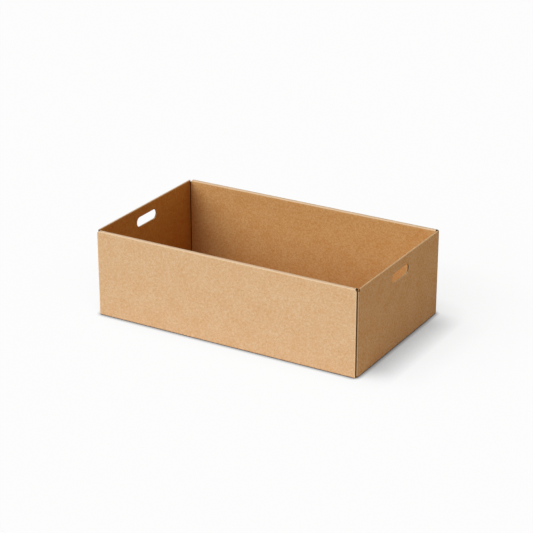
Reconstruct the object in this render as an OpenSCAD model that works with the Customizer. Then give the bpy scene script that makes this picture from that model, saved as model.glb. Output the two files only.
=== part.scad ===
// Open tray box folded from one die-cut sheet of kraft board.
// The long sides roll over into double walls that trap the corner flaps of the single end walls.
// X runs along the length, Y across the width, Z up. The origin is the middle of the underside.

/* [Tray] */
// Outside length, over the two end walls
tray_l = 360; // [260:1:600]
// Outside width, over the two rolled side walls
tray_w = 216; // [150:1:400]
// Outside height, from the underside to the top edge
tray_h = 111; // [80:1:240]

/* [Board] */
// Thickness of the board
board = 1.6; // [1.2:0.1:3]
// Inside radius of every fold
fold_r = 0.4; // [0.2:0.1:0.8]

/* [Rolled side walls] */
// Free room on each side of a corner flap, between the two panels of a side wall
pocket_room = 0.6; // [0.3:0.1:1.5]
// Gap from the cut end of an outer panel to the plane of the end wall
outer_end_gap = 1.8; // [0.6:0.1:3]
// Gap from the cut end of a rim to the plane of the end wall
rim_end_gap = 4.1; // [3:0.1:8]
// Gap from the cut end of an inner panel to the inside face of the end wall
inner_end_gap = 1.2; // [0.6:0.1:3]
// Gap between the lower edge of an inner panel and the floor
floor_gap = 0.3; // [0.2:0.1:1]

/* [Lock tabs] */
// Lock tabs on each inner panel
tab_count = 2; // [1:1:3]
// Length of one lock tab
tab_l = 36; // [20:1:60]
// Distance between the middles of two lock tabs
tab_pitch = 150; // [70:1:180]
// Room all round a lock tab in its slot
slot_room = 0.3; // [0.2:0.1:1]
// Height of a lock tab's tip above the underside
tab_tip_z = 0.3; // [0.1:0.1:1]
// Slant at each end of a lock tab, so that its tip finds the slot
tab_slant = 1; // [0.2:0.1:3]

/* [Corner flaps] */
// Length of the flat part of a corner flap
flap_l = 60; // [30:1:90]
// Size of the slanted cuts at a corner flap's free end
flap_cut = 14; // [4:1:30]
// Room between a corner flap's top edge and the rolled rim above it
flap_top_room = 1.4; // [0.3:0.1:3]
// How far the notch in an end wall's top corner runs past the corner fold
notch_past = 0.8; // [0.4:0.1:4]

/* [Hand holes] */
// Length of a hand hole
hole_l = 44; // [30:1:100]
// Height of a hand hole
hole_h = 13; // [10:1:30]
// Distance from the top edge down to a hand hole's middle
hole_drop = 19; // [14:1:60]

/* [Hidden] */
$fn = 64;
fold_out = fold_r + board;
rim_w = 3 * board + 2 * pocket_room;
outer_half = tray_l / 2 - outer_end_gap;
rim_half = tray_l / 2 - rim_end_gap;
inner_half = tray_l / 2 - board - inner_end_gap;
base_half_l = tray_l / 2 - fold_out;
base_half_w = tray_w / 2 - fold_out;
inner_face_y = tray_w / 2 - rim_w;
flap_face_y = tray_w / 2 - board - pocket_room;
end_half_w = flap_face_y - fold_out;
flap_top_z = tray_h - board - flap_top_room;
notch_y = end_half_w - notch_past;
hole_z = tray_h - hole_drop;
over = 1;

// Cross-section of a quarter fold that leaves the origin along the first axis and turns to the second
module quarter_fold() {
    translate([0, fold_out])
        intersection() {
            difference() {
                circle(fold_out);
                circle(fold_r);
            }
            translate([0, -fold_out])
                square(fold_out);
        }
}

// Carries a cross-section in Y and Z along X, to the same distance on both sides of the middle
module along_x(half) {
    rotate([90, 0, 90])
        linear_extrude(height = 2 * half, center = true)
            children();
}

// Carries an outline in X and Z along Y, from the given place inwards through one thickness of board
module upright_sheet(outer_y) {
    translate([0, outer_y, 0])
        rotate([90, 0, 0])
            linear_extrude(height = board)
                children();
}

module tab_places() {
    for (k = [0 : tab_count - 1])
        translate([(k - (tab_count - 1) / 2) * tab_pitch, 0])
            children();
}

module base() {
    difference() {
        translate([-base_half_l, -base_half_w, 0])
            cube([2 * base_half_l, 2 * base_half_w, board]);
        for (side = [0, 1])
            mirror([0, side, 0])
                lock_slots();
    }
}

module lock_slots() {
    tab_places()
        translate([-tab_l / 2 - slot_room, inner_face_y - slot_room, -over])
            cube([tab_l + 2 * slot_room, board + 2 * slot_room, board + 2 * over]);
}

// Outer panel, rolled rim and inner panel of the long side at +Y, one strip of board
module side_wall() {
    outer_panel();
    along_x(rim_half)
        translate([inner_face_y + fold_out, tray_h - board])
            square([base_half_w - inner_face_y - fold_out, board]);
    inner_panel();
}

// Fold at a panel's top edge, cut back at both ends from the panel's length to the rim's
module top_fold(half) {
    intersection() {
        along_x(half)
            children();
        rotate([90, 0, 0])
            linear_extrude(height = tray_w, center = true)
                polygon([
                    [-half, tray_h - fold_out],
                    [half, tray_h - fold_out],
                    [rim_half, tray_h],
                    [-rim_half, tray_h]
                ]);
    }
}

module outer_panel() {
    along_x(outer_half)
        translate([base_half_w, 0])
            quarter_fold();
    upright_sheet(tray_w / 2)
        translate([-outer_half, fold_out])
            square([2 * outer_half, tray_h - 2 * fold_out]);
    top_fold(outer_half)
        translate([tray_w / 2, tray_h - fold_out])
            rotate(90)
                quarter_fold();
}

module inner_panel() {
    top_fold(inner_half)
        translate([inner_face_y + fold_out, tray_h])
            rotate(180)
                quarter_fold();
    upright_sheet(inner_face_y + board) {
        translate([-inner_half, board + floor_gap])
            square([2 * inner_half, tray_h - fold_out - board - floor_gap]);
        tab_places()
            polygon([
                [-tab_l / 2, board + floor_gap],
                [-tab_l / 2 + tab_slant, tab_tip_z],
                [tab_l / 2 - tab_slant, tab_tip_z],
                [tab_l / 2, board + floor_gap]
            ]);
    }
}

// Single end wall at +X with its hand hole, and its two corner flaps
module end_wall() {
    rotate([90, 0, 0])
        linear_extrude(height = 2 * end_half_w, center = true)
            translate([base_half_l, 0])
                quarter_fold();
    translate([tray_l / 2 - board, 0, 0])
        rotate([90, 0, 90])
            linear_extrude(height = board)
                end_outline();
    for (side = [0, 1])
        mirror([0, side, 0])
            corner_flap();
}

module end_outline() {
    difference() {
        union() {
            translate([-end_half_w, fold_out])
                square([2 * end_half_w, flap_top_z - fold_out]);
            translate([-notch_y, fold_out])
                square([2 * notch_y, tray_h - fold_out]);
        }
        translate([0, hole_z])
            hand_hole();
    }
}

module hand_hole() {
    end_r = hole_h / 2;
    square([hole_l - hole_h, hole_h], center = true);
    for (end = [-1, 1])
        translate([end * (hole_l / 2 - end_r), 0])
            circle(end_r);
}

// Flap at the end wall's +Y edge, turned in between the two panels of the side wall
module corner_flap() {
    root_x = tray_l / 2 - fold_out;
    tip_x = root_x - flap_l;
    translate([tray_l / 2, end_half_w, fold_out])
        rotate(90)
            linear_extrude(height = flap_top_z - fold_out)
                quarter_fold();
    upright_sheet(flap_face_y)
        polygon([
            [root_x, fold_out],
            [root_x, flap_top_z],
            [tip_x + flap_cut, flap_top_z],
            [tip_x, flap_top_z - flap_cut],
            [tip_x, fold_out + flap_cut],
            [tip_x + flap_cut, fold_out]
        ]);
}

module tray() {
    color("burlywood") {
        base();
        for (side = [0, 1])
            mirror([0, side, 0])
                side_wall();
        for (end = [0, 1])
            mirror([end, 0, 0])
                end_wall();
    }
}

tray();
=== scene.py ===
import bpy
import numpy as np
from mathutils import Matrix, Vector


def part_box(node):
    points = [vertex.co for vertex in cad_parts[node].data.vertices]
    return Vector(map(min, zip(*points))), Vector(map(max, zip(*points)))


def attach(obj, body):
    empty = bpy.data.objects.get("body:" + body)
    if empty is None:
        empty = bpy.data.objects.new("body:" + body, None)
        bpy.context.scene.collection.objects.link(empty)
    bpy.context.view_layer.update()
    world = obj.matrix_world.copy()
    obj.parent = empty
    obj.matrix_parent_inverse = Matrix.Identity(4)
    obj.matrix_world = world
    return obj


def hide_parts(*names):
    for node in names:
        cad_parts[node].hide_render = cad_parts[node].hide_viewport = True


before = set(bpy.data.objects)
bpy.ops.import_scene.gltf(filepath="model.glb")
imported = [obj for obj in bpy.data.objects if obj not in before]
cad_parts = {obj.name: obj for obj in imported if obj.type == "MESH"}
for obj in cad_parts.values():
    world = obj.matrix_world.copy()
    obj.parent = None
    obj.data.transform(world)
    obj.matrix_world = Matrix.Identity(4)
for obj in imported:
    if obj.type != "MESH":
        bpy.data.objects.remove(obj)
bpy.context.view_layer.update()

# The base and the rolled long sides
# The whole tray is one die-cut sheet of brown kraft board with a fine flute. Its long sides are creased,
# rolled over by hand into double walls and held by lock tabs, which drop into slots in the base.
mm = 0.001
tray_l, tray_w, tray_h = np.array(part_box("tray")[1]) - np.array(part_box("tray")[0])
board = 1.6 * mm
fold_out = 2.0 * mm
pocket_room = 0.6 * mm
outer_end_gap = 1.8 * mm
rim_end_gap = 4.1 * mm
inner_end_gap = 1.2 * mm
floor_gap = 0.3 * mm
tab_l = 36 * mm
tab_middle = 75 * mm
tab_slant = 1 * mm
tab_tip_z = 0.3 * mm
slot_room = 0.3 * mm

turn = fold_out * np.pi / 2
fold_step = turn / 8
outer_half = tray_l / 2 - outer_end_gap
rim_half = tray_l / 2 - rim_end_gap
inner_half = tray_l / 2 - board - inner_end_gap
base_half_l = tray_l / 2 - fold_out
base_half_w = tray_w / 2 - fold_out
inner_face_y = tray_w / 2 - 3 * board - 2 * pocket_room
slot_in_y = inner_face_y - slot_room
slot_out_y = inner_face_y + board + slot_room
tab_half = tab_l / 2
slot_half = tab_half + slot_room

# Distances along a long side of the sheet, from the base's middle line to where each stretch ends
upright = tray_h - 2 * fold_out
rim_flat = base_half_w - inner_face_y - fold_out
inner_upright = tray_h - fold_out - board - floor_gap
tab_drop = board + floor_gap - tab_tip_z
side_foot = base_half_w + turn
side_top = side_foot + upright
rim_start = side_top + turn
rim_end = rim_start + rim_flat
inner_top = rim_end + turn
inner_low = inner_top + inner_upright
tab_tip = inner_low + tab_drop


def folded(distance, runs):
    """Outer face of a sheet with quarter turns to the left between its straight runs.

    Each run adds its share along its own heading, and each turn from heading a to heading b adds the outside
    radius times (sin b - sin a, cos a - cos b). The outward normal is the heading turned to the right.
    """
    place = np.zeros(distance.shape + (2,))
    heading = np.zeros(distance.shape)
    start = 0.0
    for count, run in enumerate(runs):
        ahead = count * np.pi / 2
        gone = np.clip(distance - start, 0, run)
        place += gone[..., None] * np.array([np.cos(ahead), np.sin(ahead)])
        start += run
        if count + 1 < len(runs):
            turned = np.clip((distance - start) / fold_out, 0, np.pi / 2)
            bend = [np.sin(ahead + turned) - np.sin(ahead), np.cos(ahead) - np.cos(ahead + turned)]
            place += fold_out * np.stack(bend, -1)
            heading += turned
            start += turn
    return place, np.stack([np.sin(heading), -np.cos(heading)], -1)


def nearness(distance, reach):
    """One at no distance, falling smoothly to nothing at the reach."""
    share = np.clip(1 - distance / reach, 0, 1)
    return share * share * (3 - 2 * share)


def outside(value, low, high):
    """How far a value lies outside a stretch, and zero inside it."""
    return np.maximum(np.maximum(low - value, value - high), 0)


# Reach of the cut-back at the ends, of the stretched crease with its painted highlight and of the rubbed
# edges, and how strong the rubbing and the inner panel's painted shade look
end_blend = 8 * mm
crease_reach = 0.8 * mm
edge_reach = 1.8 * mm
edge_rub = 0.6
panel_painted_shade = 0.75


def rolled_strip(x, s):
    """Base and both rolled sides, from the length x and the distance s from the base's middle line.

    Y and Z follow the folded path of s. The end columns move with the half length of the sheet at s, which
    steps out at the side's foot and comes in over both top folds to the rim, and the lock tabs narrow to
    their tips. The marks are the pale crease of the rim, stretched and a painted highlight, the rubbed cut
    ends, and painted shade that makes the inside browner.
    """
    side, reach = np.sign(s), np.abs(s)
    place, normal = folded(reach, [base_half_w, upright, rim_flat, inner_upright + tab_drop])
    half = base_half_l + (outer_half - base_half_l) * np.clip((reach - base_half_w) / fold_step, 0, 1)
    half += (rim_half - outer_half) * np.sin(np.clip((reach - side_top) / fold_out, 0, np.pi / 2))
    half += (inner_half - rim_half) * (1 - np.cos(np.clip((reach - rim_end) / fold_out, 0, np.pi / 2)))
    tip_share = np.clip((reach - inner_low) / tab_drop, 0, 1)
    past_tab = np.abs(np.abs(x) - tab_middle) - (tab_half - tab_slant * tip_share)
    cut_in = np.where(tip_share > 0, np.maximum(past_tab, 0), 0)
    moved = x + np.sign(x) * (half - base_half_l) * nearness(base_half_l - np.abs(x), end_blend)
    moved -= np.sign(x) * np.sign(np.abs(x) - tab_middle) * cut_in
    points = np.stack([moved, side * place[..., 0], place[..., 1]], -1)
    normals = np.stack([np.zeros_like(x), side * normal[..., 0], normal[..., 1]], -1)
    # The pale crease of the rolled rim: stretched paper, and a painted highlight.
    crease_highlight_and_gap_shade = nearness(outside(reach, side_top + turn / 2, rim_end + turn / 2), crease_reach)
    on_panel = (reach > base_half_w) & (reach < side_top)
    rub_and_highlight = edge_rub * nearness(half - np.abs(moved), edge_reach) * on_panel
    # Painted shade: the inner panel turns browner towards the inside.
    inside = panel_painted_shade * np.clip((reach - rim_end) / turn, 0, 1)
    return points, normals, np.stack([moved, s], -1), np.stack([crease_highlight_and_gap_shade, rub_and_highlight, inside], -1)


def in_sheet(x, s):
    """The base without its slots, both rolled sides, and below the inner panels only the lock tabs."""
    off_tab = np.abs(np.abs(x) - tab_middle)
    in_slot = (np.abs(s) > slot_in_y) & (np.abs(s) < slot_out_y) & (off_tab < slot_half)
    return ~in_slot & ((np.abs(s) < inner_low) | (off_tab < tab_half))


def ruled(start, *legs):
    """Places along a line from start. Each leg gives where it ends and the spacing of its even steps."""
    places = [np.array([start])]
    for end, spacing in legs:
        steps = max(1, round((end - start) / spacing))
        places.append(np.linspace(start, end, steps + 1)[1:])
        start = end
    return np.concatenate(places)


def both_ways(places):
    """Places on one side of zero, with their mirror images on the other side."""
    return np.concatenate([-places[:0:-1], places])


def quads(rows, columns):
    """Corner numbers of a grid's faces."""
    corner = np.arange(rows * columns).reshape(rows, columns)
    around = [corner[:-1, :-1], corner[1:, :-1], corner[1:, 1:], corner[:-1, 1:]]
    return np.stack(around, -1).reshape(-1, 4)


def grid_patch(shape, rows, columns, keep):
    """A patch of sheet on a grid of two parameters, without the faces that were cut away."""
    a, b = np.meshgrid(rows, columns, indexing="ij")
    values = [value.reshape(a.size, -1) for value in shape(a, b)]
    faces = quads(*a.shape)
    return values, faces[keep(a.ravel()[faces].mean(1), b.ravel()[faces].mean(1))]


# Lines of the grid: across the base, on along a rolled side, and along the tray
wide, fine, hair = 6 * mm, 2 * mm, 0.6 * mm
block_y = 28 * mm
notch_past = 0.8 * mm
end_half_w = tray_w / 2 - board - pocket_room - fold_out
notch_y = end_half_w - notch_past
across_lines = ruled(
    0.0, (block_y, fine), (slot_in_y, wide), (notch_y, hair), (end_half_w, hair),
)
side_lines = ruled(
    end_half_w, (slot_out_y, hair), (base_half_w, fine), (side_foot, fold_step),
    (side_top - crease_reach, wide), (side_top, hair), (rim_start, fold_step), (rim_end, hair),
    (inner_top, fold_step), (inner_top + crease_reach, hair), (inner_low, wide), (tab_tip, hair),
)
along_lines = ruled(
    0.0, (tab_middle - slot_half, wide), (tab_middle - tab_half, hair), (tab_middle + tab_half, wide),
    (tab_middle + slot_half, hair), (base_half_l - end_blend, wide), (base_half_l - fine, fine),
    (base_half_l, hair),
)
strip_columns = both_ways(np.append(across_lines, side_lines[1:]))
patches = [grid_patch(rolled_strip, both_ways(along_lines), strip_columns, in_sheet)]

# The end walls and their corner flaps
# Each end of the same sheet folds up into a wall of a single thickness with a raw top edge. A flap at each
# upright edge, a little lower than the wall, turns in between the two panels of a long side and holds it.
flap_l = 60 * mm
flap_cut = 14 * mm
flap_top_room = 1.4 * mm
hole_l = 44 * mm
hole_h = 13 * mm
hole_drop = 19 * mm
end_radius = hole_h / 2
flap_top_z = tray_h - board - flap_top_room
hole_rise = tray_h - hole_drop - fold_out + turn
flap_top_rise = flap_top_z - fold_out + turn
wall_rise = tray_h - fold_out + turn
flap_start = end_half_w + turn
flap_end = flap_start + flap_l

# A corner fold from the wall to the flap: painted shade along its score and over the flap in the pocket, and
# a painted highlight on its crest
score_reach = 0.9 * mm
score_shade = 0.33
crest_at = end_half_w + 0.42 * turn
crest_highlight = 0.7
pocket_start = end_half_w + 0.82 * turn
pocket_reach = 0.7 * mm


def end_sheet(end, t, h):
    """An end wall with its foot fold and corner flaps, from the distances t across and h up the sheet.

    X and Z follow the folded path of h, and Y follows the folded path of t, which also takes the flaps back
    inwards. The flaps' heights close in towards their tips by the slanted cuts. The marks are painted shade
    on the score and over the flap in the pocket, as a negative crease, a pale top edge that is partly rubbed
    and partly a painted highlight, and a painted highlight on the corner crest.
    """
    side, reach = np.sign(t), np.abs(t)
    rise, rise_normal = folded(h, [0.0, tray_h - fold_out])
    across, across_normal = folded(reach, [end_half_w, flap_l])
    flap_middle = (flap_top_z + fold_out) / 2
    tip = np.maximum(across[..., 1] - fold_out - (flap_l - flap_cut), 0)
    narrowing = 1 - tip / (flap_top_z - flap_middle)
    z = np.where(tip > 0, flap_middle + (rise[..., 1] - flap_middle) * narrowing, rise[..., 1])
    x = base_half_l + rise[..., 0] - across[..., 1]
    points = np.stack([end * x, side * across[..., 0], z], -1)
    turn_in = -across_normal[..., 1]
    normals = [end * rise_normal[..., 0] * turn_in, side * across_normal[..., 0], rise_normal[..., 1]]
    # Painted shade along the score and over the flap inside the pocket.
    dark = score_shade * nearness(np.abs(reach - end_half_w), score_reach)
    dark += nearness(outside(reach, pocket_start, flap_end), pocket_reach)
    # A painted highlight on the corner crest; the top edge band is partly rubbed and partly a painted
    # highlight.
    crest = crest_highlight * nearness(np.abs(reach - crest_at), score_reach)
    rub_and_highlight = np.maximum(nearness(tray_h - z, score_reach), crest)
    on_sheet = np.stack([end * (base_half_l + h), t], -1)
    return points, np.stack(normals, -1), on_sheet, np.stack([-dark, rub_and_highlight, np.zeros_like(t)], -1)


def in_end(t, h):
    """Wall and foot fold between the corners, flaps beside the wall, and no block round the hand hole."""
    wall = (np.abs(t) < end_half_w) & ((h < flap_top_rise) | (np.abs(t) < notch_y))
    flap = (np.abs(t) > end_half_w) & (h > turn) & (h < flap_top_rise)
    block = (np.abs(t) < block_y) & (np.abs(h - hole_rise) < block_h)
    return (wall & ~block) | flap


block_h = 14 * mm
flap_lines = ruled(end_half_w, (flap_start, fold_step), (flap_end - flap_cut, wide), (flap_end, wide))
rise_lines = ruled(
    0.0, (turn, fold_step), (hole_rise - block_h, wide), (hole_rise + block_h, fine),
    (flap_top_rise, fine), (wall_rise, hair),
)
end_columns = both_ways(np.append(across_lines, flap_lines[1:]))
for end in (-1, 1):
    patches.append(grid_patch(lambda t, h: end_sheet(end, t, h), end_columns, rise_lines, in_end))

# The hand holes
# A slot with round ends is punched through each end wall near its top, for the fingers. The sheet round it
# is a ring of faces from a block of the wall's grid in to the slot.
t_block = both_ways(across_lines)
t_block = t_block[np.abs(t_block) < block_y + hair]
h_block = rise_lines[np.abs(rise_lines - hole_rise) < block_h + hair]
t_low, t_high = np.full(len(h_block) - 1, -block_y), np.full(len(h_block) - 2, block_y)
h_low, h_high = np.full(len(t_block), h_block[0]), np.full(len(t_block), h_block[-1])
t_outline = np.concatenate([t_block, t_high, t_block[::-1], t_low])
h_outline = np.concatenate([h_low, h_block[1:-1], h_high, h_block[-2::-1]])
ring_shares = np.array([0, 0.3, 0.55, 0.75, 0.88, 0.95, 1.0])[:, None]


def hole_patch(end):
    """The sheet round a hand hole, a slot with round ends.

    Each point of the block's outline moves straight towards the hole's middle line until it is one end
    radius away, and the rings between lie at fixed shares of that way.
    """
    middle = np.clip(t_outline, end_radius - hole_l / 2, hole_l / 2 - end_radius)
    away = np.hypot(t_outline - middle, h_outline - hole_rise)
    t_slot = middle + (t_outline - middle) * end_radius / away
    h_slot = hole_rise + (h_outline - hole_rise) * end_radius / away
    t = t_outline + (t_slot - t_outline) * ring_shares
    h = h_outline + (h_slot - h_outline) * ring_shares
    return [value.reshape(t.size, -1) for value in end_sheet(end, t, h)], quads(*t.shape)


for end in (-1, 1):
    patches.append(hole_patch(end))

# The board's thickness and its raw edges
# Two smooth liners with a fluted middle between them. Every cut of the die leaves a raw edge, where the
# liners stand a little proud of the flutes. The edges inside the corners and the hand holes' ends are set
# further back and darkened with painted shade.


def joined(pieces):
    """All patches as one open surface: points that meet become one, spare points go, faces turn outwards."""
    starts = np.cumsum([0] + [len(values[0]) for values, faces in pieces[:-1]])
    faces = np.concatenate([faces + start for (values, faces), start in zip(pieces, starts)])
    values = [np.concatenate(kind) for kind in zip(*[values for values, faces in pieces])]
    used, faces = np.unique(faces, return_inverse=True)
    values = [value[used] for value in values]
    faces = faces.reshape(-1, 4)
    key = np.round(values[0] / (0.001 * mm)).astype(np.int64)
    first, merged = np.unique(key, axis=0, return_index=True, return_inverse=True)[1:]
    values = [value[first] for value in values]
    faces = merged.ravel()[faces]
    points, normals = values[:2]
    ways = np.cross(points[faces[:, 2]] - points[faces[:, 0]], points[faces[:, 3]] - points[faces[:, 1]])
    inward = (ways * normals[faces[:, 0]]).sum(1) < 0
    faces[inward] = faces[inward, ::-1]
    return values, faces


def free_edges(faces):
    """Edges that only one face has, in that face's direction."""
    edges = np.stack([faces, np.roll(faces, -1, 1)], -1).reshape(-1, 2)
    number, count = np.unique(np.sort(edges, 1), axis=0, return_inverse=True, return_counts=True)[1:]
    return edges[count[number.ravel()] == 1]


(points, normals, sheet, marks), outer_faces = joined(patches)
rim_points, rim_edges = np.unique(free_edges(outer_faces), return_inverse=True)
rim_edges = rim_edges.reshape(-1, 2)
edge_start, edge_stop = rim_points[rim_edges].T
into = np.cross(normals[edge_start] + normals[edge_stop], points[edge_stop] - points[edge_start])
into /= np.linalg.norm(into, axis=1, keepdims=True)
inward = np.zeros((len(rim_points), 3))
np.add.at(inward, rim_edges[:, 0], into)
np.add.at(inward, rim_edges[:, 1], into)
inward *= 2 / (inward ** 2).sum(1, keepdims=True)

# How far each raw edge is set back and darkened with painted shade: zero for a closed one, one for a dark
# hollow
hole_side_recess_and_shade = 0.3
panel_end_recess_and_shade = 0.65
along_rim, across_rim = np.abs(sheet[rim_points]).T
past_straight = outside(across_rim, 0, hole_l / 2 - end_radius)
at_hole = np.hypot(past_straight, along_rim - base_half_l - hole_rise) < end_radius + hair
past_notch = (across_rim > notch_y - hair / 2) & (along_rim > base_half_l)
on_panel = (across_rim > base_half_w) & (across_rim < side_top) & (along_rim < tray_l / 2)
recess_and_shade = ((across_rim > base_half_w) | past_notch).astype(float)
recess_and_shade = np.where(on_panel, panel_end_recess_and_shade, recess_and_shade)
recess_and_shade = np.where(at_hole, np.clip(past_straight / end_radius, hole_side_recess_and_shade, 1), recess_and_shade)

# Each raw edge in four rows, as a share of the thickness and a share of the set-back
shut_depth, open_depth = 0.15 * mm, 0.80 * mm
set_back = (shut_depth + (open_depth - shut_depth) * recess_and_shade)[:, None]
liner, lip = 0.14, 0.05
edge_rows = [(liner, 0.0), (liner + lip, 1.0), (1 - liner - lip, 1.0), (1 - liner, 0.0)]
count, rim_count = len(points), len(rim_points)
edge_points = [
    points[rim_points] - board * share * normals[rim_points] + back * set_back * inward
    for share, back in edge_rows
]
all_points = np.concatenate([points, points - board * normals, *edge_points])
edge_numbers = [2 * count + row * rim_count + np.arange(rim_count) for row in range(len(edge_rows))]
ladder = [rim_points, *edge_numbers, rim_points + count]
edge_faces = [
    np.stack([a[rim_edges[:, 1]], a[rim_edges[:, 0]], b[rim_edges[:, 0]], b[rim_edges[:, 1]]], -1)
    for a, b in zip(ladder, ladder[1:])
]
skin_faces = np.concatenate([outer_faces, outer_faces[:, ::-1] + count])
all_faces = np.concatenate([skin_faces, *edge_faces])

# The inner skin is browner as painted shade, pale along the end walls' top edges, partly rubbed and partly
# a painted highlight, and darkened with painted shade where the inner panels meet them
inner_rub_and_highlight_reach = 1.6 * mm
along, across = np.abs(sheet).T
# Painted shade where the inner panels meet the end walls.
inner_corner = nearness(outside(across, inner_face_y + hair, tray_w), hair) * (along > base_half_l)
# Pale top band on the inner skin: partly rubbed, partly a painted highlight.
inner_rub_and_highlight = nearness(tray_h - points[:, 2], inner_rub_and_highlight_reach)
inner_marks = np.column_stack([-inner_corner, inner_rub_and_highlight, np.ones(count)])
edge_marks = np.column_stack([recess_and_shade, recess_and_shade, recess_and_shade])
all_marks = np.concatenate([marks, inner_marks] + [edge_marks] * len(edge_rows))
all_sheet = np.concatenate([sheet, sheet] + [sheet[rim_points]] * len(edge_rows))
edge_depths = [np.full(rim_count, share) for share, back in edge_rows]
depth = np.concatenate([np.zeros(count), np.ones(count), *edge_depths])

mesh = bpy.data.meshes.new("folded_tray")
mesh.from_pydata(all_points, [], all_faces)
sheet_values = np.column_stack([all_sheet, depth]).astype(np.float32).ravel()
mesh.attributes.new("sheet", "FLOAT_VECTOR", "POINT").data.foreach_set("vector", sheet_values)
mark_values = all_marks.astype(np.float32).ravel()
mesh.attributes.new("marks", "FLOAT_VECTOR", "POINT").data.foreach_set("vector", mark_values)
on_edge = np.arange(len(all_faces)) >= len(skin_faces)
mesh.polygons.foreach_set("material_index", on_edge.astype(np.int32))
mesh.polygons.foreach_set("use_smooth", np.ones(len(all_faces), bool))
mesh.set_sharp_from_angle(angle=np.radians(40))
mesh.validate()
tray = bpy.data.objects.new("folded_tray", mesh)
bpy.context.scene.collection.objects.link(tray)

# The kraft paper
# Uncoated brown paper of long pulp, with cloudy tone, pale and dark fibres and a few specks of bark. Rolled
# rims are stretched pale with a painted highlight, cut edges are rubbed pale, the end walls' top edges are
# rubbed pale with a painted highlight, fold crests carry a painted highlight, and painted shade browns the
# inside and darkens the corner gaps and scores.


class Tone:
    """An output of a material's nodes. Arithmetic on it adds Math nodes to the same tree."""

    def __init__(self, tree, socket=None):
        self.tree = tree
        self.socket = socket

    def node(self, kind, settings, inputs, output=0):
        """A new node of that kind: its settings are set first, then its inputs by name or number."""
        made = self.tree.nodes.new(kind)
        for name, value in settings.items():
            setattr(made, name, value)
        for name, value in inputs.items():
            if isinstance(value, Tone):
                self.tree.links.new(value.socket, made.inputs[name])
            else:
                made.inputs[name].default_value = value
        return Tone(self.tree, made.outputs[output])

    def math(self, operation, *inputs):
        return self.node("ShaderNodeMath", {"operation": operation}, dict(enumerate(inputs)))

    def vector_math(self, operation, *inputs):
        return self.node("ShaderNodeVectorMath", {"operation": operation}, dict(enumerate(inputs)))

    def magnitude(self):
        """The value without its sign."""
        return self.math("ABSOLUTE", self)

    def axis(self, number):
        """One of the three parts of a vector."""
        return self.node("ShaderNodeSeparateXYZ", {}, {0: self}, number)

    def smooth(self, low, high):
        """Zero at low and one at high, with a smooth step between."""
        inputs = {"Value": self, "From Min": low, "From Max": high}
        return self.node("ShaderNodeMapRange", {"interpolation_type": "SMOOTHSTEP"}, inputs)

    def colours(self, dark, light, blend="MIX"):
        """A colour from dark, where this value is zero, to light, where it is one."""
        settings = {"data_type": "RGBA", "blend_type": blend}
        return self.node("ShaderNodeMix", settings, {"Factor": self, 6: dark, 7: light}, 2)

    def __add__(self, other):
        return self.math("ADD", self, other)

    def __sub__(self, other):
        return self.math("SUBTRACT", self, other)

    def __rsub__(self, other):
        return self.math("SUBTRACT", other, self)

    def __mul__(self, other):
        return self.math("MULTIPLY", self, other)

    __radd__ = __add__
    __rmul__ = __mul__


def noise(place, size, detail=2.0, roughness=0.5):
    """Cloudy noise of about that grain size, from zero to one around a half."""
    inputs = {"Vector": place, "Scale": 1 / size, "Detail": detail, "Roughness": roughness}
    return place.node("ShaderNodeTexNoise", {"noise_dimensions": "3D"}, inputs)


def fibres(place, spacing, length, thickness):
    """One curved fibre in each cell of a Voronoi pattern, turned at random, from -1 for dark to 1 for pale.

    In the fibre's own axes its shade is 1 - (along / half length)^2 - (across / half thickness)^2, never
    below zero, where across is bent by a share of along squared.
    """
    settings = {"voronoi_dimensions": "2D", "feature": "F1"}
    inputs = {"Vector": place, "Scale": 1 / spacing, "Randomness": 1.0}
    middle = place.node("ShaderNodeTexVoronoi", settings, inputs, "Position")
    chance = Tone(place.tree, middle.socket.node.outputs["Color"])
    random = [chance.node("ShaderNodeSeparateColor", {}, {"Color": chance}, k) for k in range(3)]
    away = place.vector_math("SUBTRACT", place, middle)
    away_x, away_y = away.axis(0), away.axis(1)
    angle = random[0] * (2 * np.pi)
    cosine, sine = angle.math("COSINE", angle), angle.math("SINE", angle)
    along = away_x * cosine + away_y * sine
    bend = (random[1] - 0.5) * (1.2 / length)
    across = away_y * cosine - away_x * sine + along * along * bend
    along, across = along * (2 / length), across * (2 / thickness)
    shade = 1 - along * along - across * across
    return shade.math("MAXIMUM", shade, 0.0) * (random[2] * 2 - 1)


def kraft(place):
    """The tone of kraft paper around zero: clouds of uneven pulp, mottling, fine grain, and fibres."""
    clouds = noise(place, 22 * mm, 2.0) - 0.5
    mottle = noise(place, 3.2 * mm, 3.0, 0.75) - 0.5
    grain = noise(place, 0.9 * mm, 1.0) - 0.5
    long_fibres = fibres(place, 3.0 * mm, 4.6 * mm, 1.0 * mm)
    short_fibres = fibres(place, 1.6 * mm, 2.2 * mm, 0.7 * mm)
    return clouds * 0.9 + mottle * 3.0 + grain * 1.6 + long_fibres * 0.9 + short_fibres * 1.2


def material(name):
    """A new node material: itself, its tree, and its shader with a matt finish."""
    made = bpy.data.materials.new(name)
    made.use_nodes = True
    shader = made.node_tree.nodes["Principled BSDF"]
    shader.inputs["Specular IOR Level"].default_value = 0.2
    return made, made.node_tree, shader


def linear(red, green, blue):
    """A colour given in display values from 0 to 255, as the linear values that sockets hold."""
    share = np.array([red, green, blue]) / 255
    return (*np.where(share > 0.04045, ((share + 0.055) / 1.055) ** 2.4, share / 12.92), 1.0)


def sheet_and_marks(tone):
    """A point's place on the flat sheet with its depth in the board, and its marks of making, wear, painted
    highlight and painted shade.
    """
    names = ("sheet", "marks")
    return [tone.node("ShaderNodeAttribute", {"attribute_name": name}, {}, "Vector") for name in names]


pulp_dark, pulp_pale = linear(207, 159, 104), linear(223, 194, 156)
bark = linear(120, 80, 44)
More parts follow.
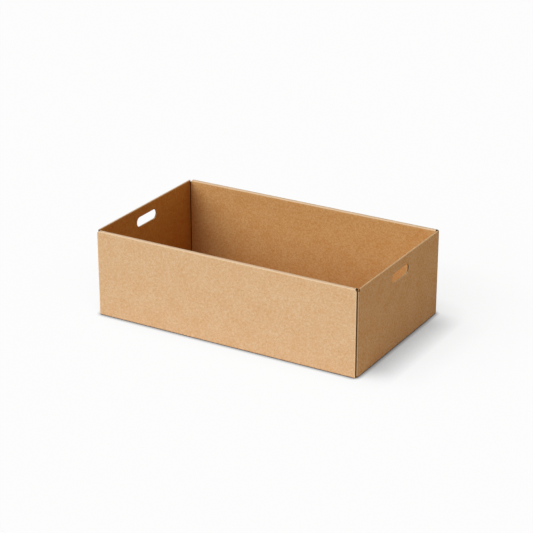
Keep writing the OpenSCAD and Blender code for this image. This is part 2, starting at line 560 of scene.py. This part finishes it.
# Painted shade that browns the inside.
inside_painted_shade = linear(242, 206, 136)
# Pale of the stretched rim, with a painted highlight.
stretched_pale_and_highlight = linear(252, 218, 176)
# Painted shade for the corner gaps, scores and pocket.
gap_painted_shade = linear(16, 9, 4)
# Pale of rubbed edges, partly a painted highlight.
rubbed_and_highlight_pale = linear(240, 206, 162)
speck_share, stretch_and_highlight_share, gap_shade_share, rub_and_highlight_share = 0.5, 0.75, 0.97, 0.9
plain_contrast, inside_contrast, end_contrast = 0.52, 0.35, 0.33

paper, tree, shader = material("kraft_liner")
sheet_place, mark = sheet_and_marks(Tone(tree))
crease_highlight_and_gap_shade, rub_and_highlight, inside = mark.axis(0), mark.axis(1), mark.axis(2)
pulp = kraft(sheet_place)
on_end = sheet_place.axis(0).magnitude().smooth(base_half_l, base_half_l + turn)
contrast = plain_contrast + inside.math("MAXIMUM", inside * inside_contrast, on_end * end_contrast)
colour = (pulp * contrast + 0.5).colours(pulp_dark, pulp_pale)
specks = noise(sheet_place, 1.5 * mm, 1.0).smooth(0.70, 0.78)
colour = (specks * speck_share).colours(colour, bark)
# Painted shade browns the inside faces.
colour = inside.colours(colour, inside_painted_shade, "MULTIPLY")
# The rim's stretched pale, with a painted highlight.
colour = (crease_highlight_and_gap_shade * stretch_and_highlight_share).colours(colour, stretched_pale_and_highlight)
# Painted shade in the corner gaps, scores and pocket.
colour = (crease_highlight_and_gap_shade * -gap_shade_share).colours(colour, gap_painted_shade)
# Pale rubbed edges, with a painted highlight on the top edges and crests.
colour = (rub_and_highlight * rub_and_highlight_share).colours(colour, rubbed_and_highlight_pale)
tree.links.new(colour.socket, shader.inputs["Base Color"])
rough = 0.82 + pulp * 0.06
tree.links.new(rough.socket, shader.inputs["Roughness"])
bump = pulp.node("ShaderNodeBump", {}, {"Strength": 0.5, "Distance": 0.06 * mm, "Height": pulp})
tree.links.new(bump.socket, shader.inputs["Normal"])

# Raw edges are pale: partly the raw board's own tone, partly a painted highlight.
edge_dark, edge_pale_and_highlight = linear(244, 204, 150), linear(255, 228, 182)
flute_brown = linear(120, 80, 46)
edge_painted_shade = linear(36, 20, 8)
flute_pitch = 3.2 * mm

raw_edge, tree, shader = material("kraft_raw_edge")
sheet_place, mark = sheet_and_marks(Tone(tree))
edge_shade = mark.axis(0)
across_flutes, edge_depth = sheet_place.axis(1), sheet_place.axis(2)
wave = across_flutes.math("SINE", across_flutes * (2 * np.pi / flute_pitch)) * 0.3 + 0.5
off_flute, off_middle = (edge_depth - wave).magnitude(), (edge_depth - 0.5).magnitude()
pit = off_flute.smooth(0.05, 0.12) * off_middle.smooth(0.38, 0.32)
grain = noise(sheet_place, 0.9 * mm, 3.0, 0.7)
colour = grain.colours(edge_dark, edge_pale_and_highlight)
colour = (pit * 0.2).colours(colour, flute_brown)
# Painted shade darkens the set-back edges.
colour = (edge_shade * 0.8 + pit * edge_shade * 0.2).colours(colour, edge_painted_shade)
tree.links.new(colour.socket, shader.inputs["Base Color"])
shader.inputs["Roughness"].default_value = 0.9

tray.data.materials.append(paper)
tray.data.materials.append(raw_edge)
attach(tray, "root")
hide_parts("tray")

# The floor
# A wide plain white sweep under the tray. It looks white where it is open, and its glow carries a soft
# painted shadow where the tray covers the way to the lamp: beside the tray, faintly behind it, and in a thin
# line under its foot.
floor_half = 12.0
floor_mesh = bpy.data.meshes.new("floor")
floor_corners = floor_half * np.array([(-1, -1, 0), (1, -1, 0), (1, 1, 0), (-1, 1, 0)])
floor_mesh.from_pydata(floor_corners, [], [(0, 1, 2, 3)])
floor = bpy.data.objects.new("floor", floor_mesh)
bpy.context.scene.collection.objects.link(floor)


def background_rays(tone):
    """One for rays that show the background: straight from the camera, mirrored, or through glass."""
    kinds = ("Is Camera Ray", "Is Glossy Ray", "Is Transmission Ray")
    straight, mirrored, through = (tone.node("ShaderNodeLightPath", {}, {}, kind) for kind in kinds)
    return tone.math("MAXIMUM", tone.math("MAXIMUM", straight, mirrored), through)


def cover(tone, reach, way):
    """Share of the view from the floor in that direction that the tray covers within the reach."""
    facing = tone.node("ShaderNodeCombineXYZ", {}, dict(enumerate(way)))
    inputs = {"Distance": reach, "Normal": facing}
    return 1 - tone.node("ShaderNodeAmbientOcclusion", {"samples": 8}, inputs, "AO")


black, white = (0.0, 0.0, 0.0, 1.0), (1.0, 1.0, 1.0, 1.0)
floor_bounce, floor_pale = (0.92, 0.71, 0.48, 1.0), (1.0, 0.97, 0.93, 1.0)
glow_share = 0.94
to_side, to_front, straight_up = (-0.60, -0.62, 0.50), (-0.05, -0.95, 0.30), (0.0, 0.0, 1.0)

floor_paint, tree, shader = material("floor_white")
start_tone = Tone(tree)
shows_floor = background_rays(start_tone)
floor_colour = shows_floor.colours(floor_bounce, floor_pale)
tree.links.new(floor_colour.socket, shader.inputs["Base Color"])
shader.inputs["Roughness"].default_value = 1.0
shader.inputs["Specular IOR Level"].default_value = 0.0
floor_place = start_tone.node("ShaderNodeTexCoord", {}, {}, "Object")
corner_fade = 0.7 * floor_place.axis(1).magnitude().smooth(65 * mm, 120 * mm)
beside = 0.74 * cover(start_tone, 42 * mm, to_side) + 0.16 * cover(start_tone, 80 * mm, to_side)
behind = 0.11 * cover(start_tone, 160 * mm, to_front)
underfoot = 1.3 * cover(start_tone, 6 * mm, straight_up)
brightness = (1 - beside * (1 - corner_fade) - behind) * (1 - underfoot)
glow_colour = brightness.colours(black, white)
glow = start_tone.node("ShaderNodeEmission", {}, {"Color": glow_colour, "Strength": 1.0})
lit = Tone(tree, shader.outputs[0])
seen = start_tone.node("ShaderNodeMixShader", {}, {0: shows_floor * glow_share, 1: lit, 2: glow})
tree.links.new(seen.socket, tree.nodes["Material Output"].inputs["Surface"])
floor.data.materials.append(floor_paint)

# The light
# A broad soft lamp from the front left, not far above the tray, a weak warm one from behind on the right,
# and an even pale room that fills the shaded sides. The room shows as white behind the floor.


def far_lamp(name, way, strength, spread, colour):
    """A far lamp in that direction, as strong as that share of white on a surface that faces it."""
    lamp = bpy.data.lights.new(name, "SUN")
    lamp.energy = strength * np.pi
    lamp.angle = np.radians(spread)
    lamp.color = colour
    lamp_object = bpy.data.objects.new(name, lamp)
    lamp_object.rotation_mode = "QUATERNION"
    lamp_object.rotation_quaternion = Vector(way).to_track_quat("Z", "Y")
    bpy.context.scene.collection.objects.link(lamp_object)


far_lamp("soft_lamp", (-0.45, -1.1, 0.72), 0.74, 45, (1.0, 1.1, 1.26))
far_lamp("warm_fill", (0.9, 1.0, 0.36), 0.165, 60, (1.0, 0.75, 0.5))
world = bpy.data.worlds.new("pale_room")
world.use_nodes = True
bpy.context.scene.world = world
tree = world.node_tree
start_tone = Tone(tree)
room = start_tone.node("ShaderNodeBackground", {}, {"Color": (1.0, 0.9, 0.78, 1.0), "Strength": 0.22})
backdrop = start_tone.node("ShaderNodeBackground", {}, {"Color": white, "Strength": 1.0})
seen = start_tone.node("ShaderNodeMixShader", {}, {0: background_rays(start_tone), 1: room, 2: backdrop})
tree.links.new(seen.socket, tree.nodes["World Output"].inputs["Surface"])
bpy.context.scene.view_settings.view_transform = "Standard"

# The camera
# A long lens from the front right, a little above the tray's rim. It aims close to the tray's middle, and
# its focal length is given in pixels of the square picture.
azimuth, elevation, distance = np.radians(30.36), np.radians(22.72), 2.2424
aim = Vector((-0.0128, 0.0175, 0.0540))
level = np.cos(elevation)
back = Vector((np.sin(azimuth) * level, -np.cos(azimuth) * level, np.sin(elevation)))
focal_pixels, picture_pixels = 1806, 533
camera = bpy.data.cameras.new("camera")
camera.sensor_width = 36.0
camera.lens = camera.sensor_width * focal_pixels / picture_pixels
camera_object = bpy.data.objects.new("camera", camera)
camera_object.location = aim + back * distance
camera_object.rotation_mode = "QUATERNION"
camera_object.rotation_quaternion = back.to_track_quat("Z", "Y")
bpy.context.scene.collection.objects.link(camera_object)
bpy.context.scene.camera = camera_object
